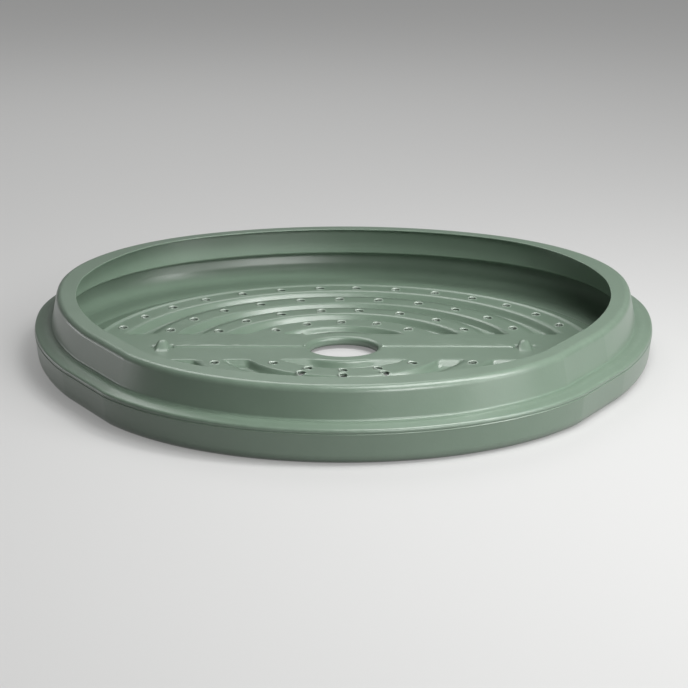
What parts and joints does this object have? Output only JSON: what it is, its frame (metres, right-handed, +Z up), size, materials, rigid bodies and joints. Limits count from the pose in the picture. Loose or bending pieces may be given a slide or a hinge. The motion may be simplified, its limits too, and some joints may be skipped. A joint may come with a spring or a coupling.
{
  "type": "compost bin base tray",
  "caption": "Shallow stepped base tray of a garden compost bin: turned-in rim and collar on a lower ring, round grooved floor plate with drain holes and a central air hole.",
  "frame": {"origin": "on the ground, on the axis of the air hole, at the middle of the outline", "axes": "+Z up, -Y towards the narrower front, +X to the right seen from the front"},
  "size_m": [0.766, 0.8322, 0.0795],
  "materials": {
    "collar_polyethylene": "satin moulded",
    "lower_polyethylene": "satin moulded",
    "floor_polyethylene": "satin moulded"
  },
  "bodies": {
    "root": {"collar_ring": "collar_polyethylene", "lower_ring": "lower_polyethylene", "floor_plate": "floor_polyethylene"}
  },
  "joints": []
}
